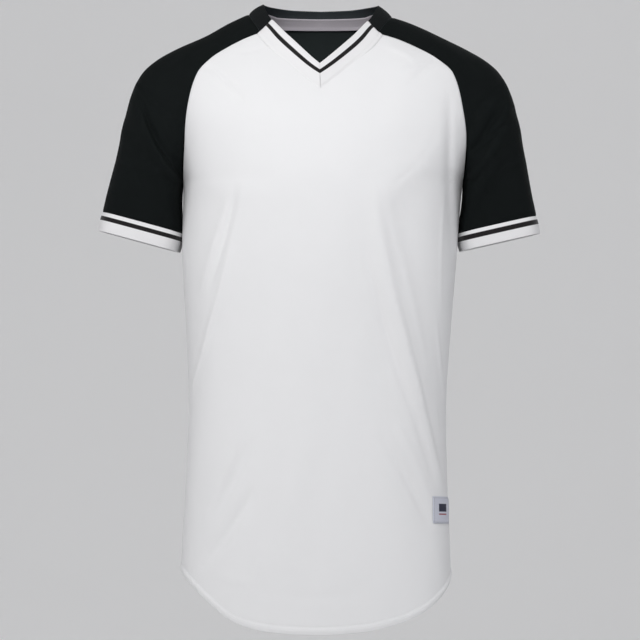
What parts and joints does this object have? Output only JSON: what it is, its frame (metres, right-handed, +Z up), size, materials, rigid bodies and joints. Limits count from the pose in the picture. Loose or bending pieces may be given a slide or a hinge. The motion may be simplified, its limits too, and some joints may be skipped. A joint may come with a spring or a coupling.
{
  "type": "sports jersey",
  "caption": "V-neck baseball jersey with short black raglan sleeves, a white front, striped rib trim and a shirt-tail hem, filled out as if worn.",
  "frame": {"origin": "midway between the two highest points of the neck seam, on the shoulders", "axes": "+X to the wearer's left, +Y out of the back, +Z up; the front faces -Y"},
  "size_m": [0.5712, 0.2455, 0.8024],
  "materials": {
    "white_knit": "matte smooth polyester knit",
    "black_knit": "matte smooth polyester knit",
    "striped_rib": "matte rib knit, white with one black stripe",
    "black_rib": "matte rib knit",
    "neck_tape_grey": "matte woven tape",
    "label_cloth": "smooth woven label"
  },
  "bodies": {
    "root": {"front_panel": "white_knit", "back_panel": "black_knit", "sleeve_right": "black_knit", "sleeve_left": "black_knit", "cuff_right": "striped_rib", "cuff_left": "striped_rib", "neck_trim_right": "striped_rib", "neck_trim_left": "striped_rib", "neckband_back": "black_rib", "neck_tape": "neck_tape_grey", "hip_label": "label_cloth"}
  },
  "joints": []
}
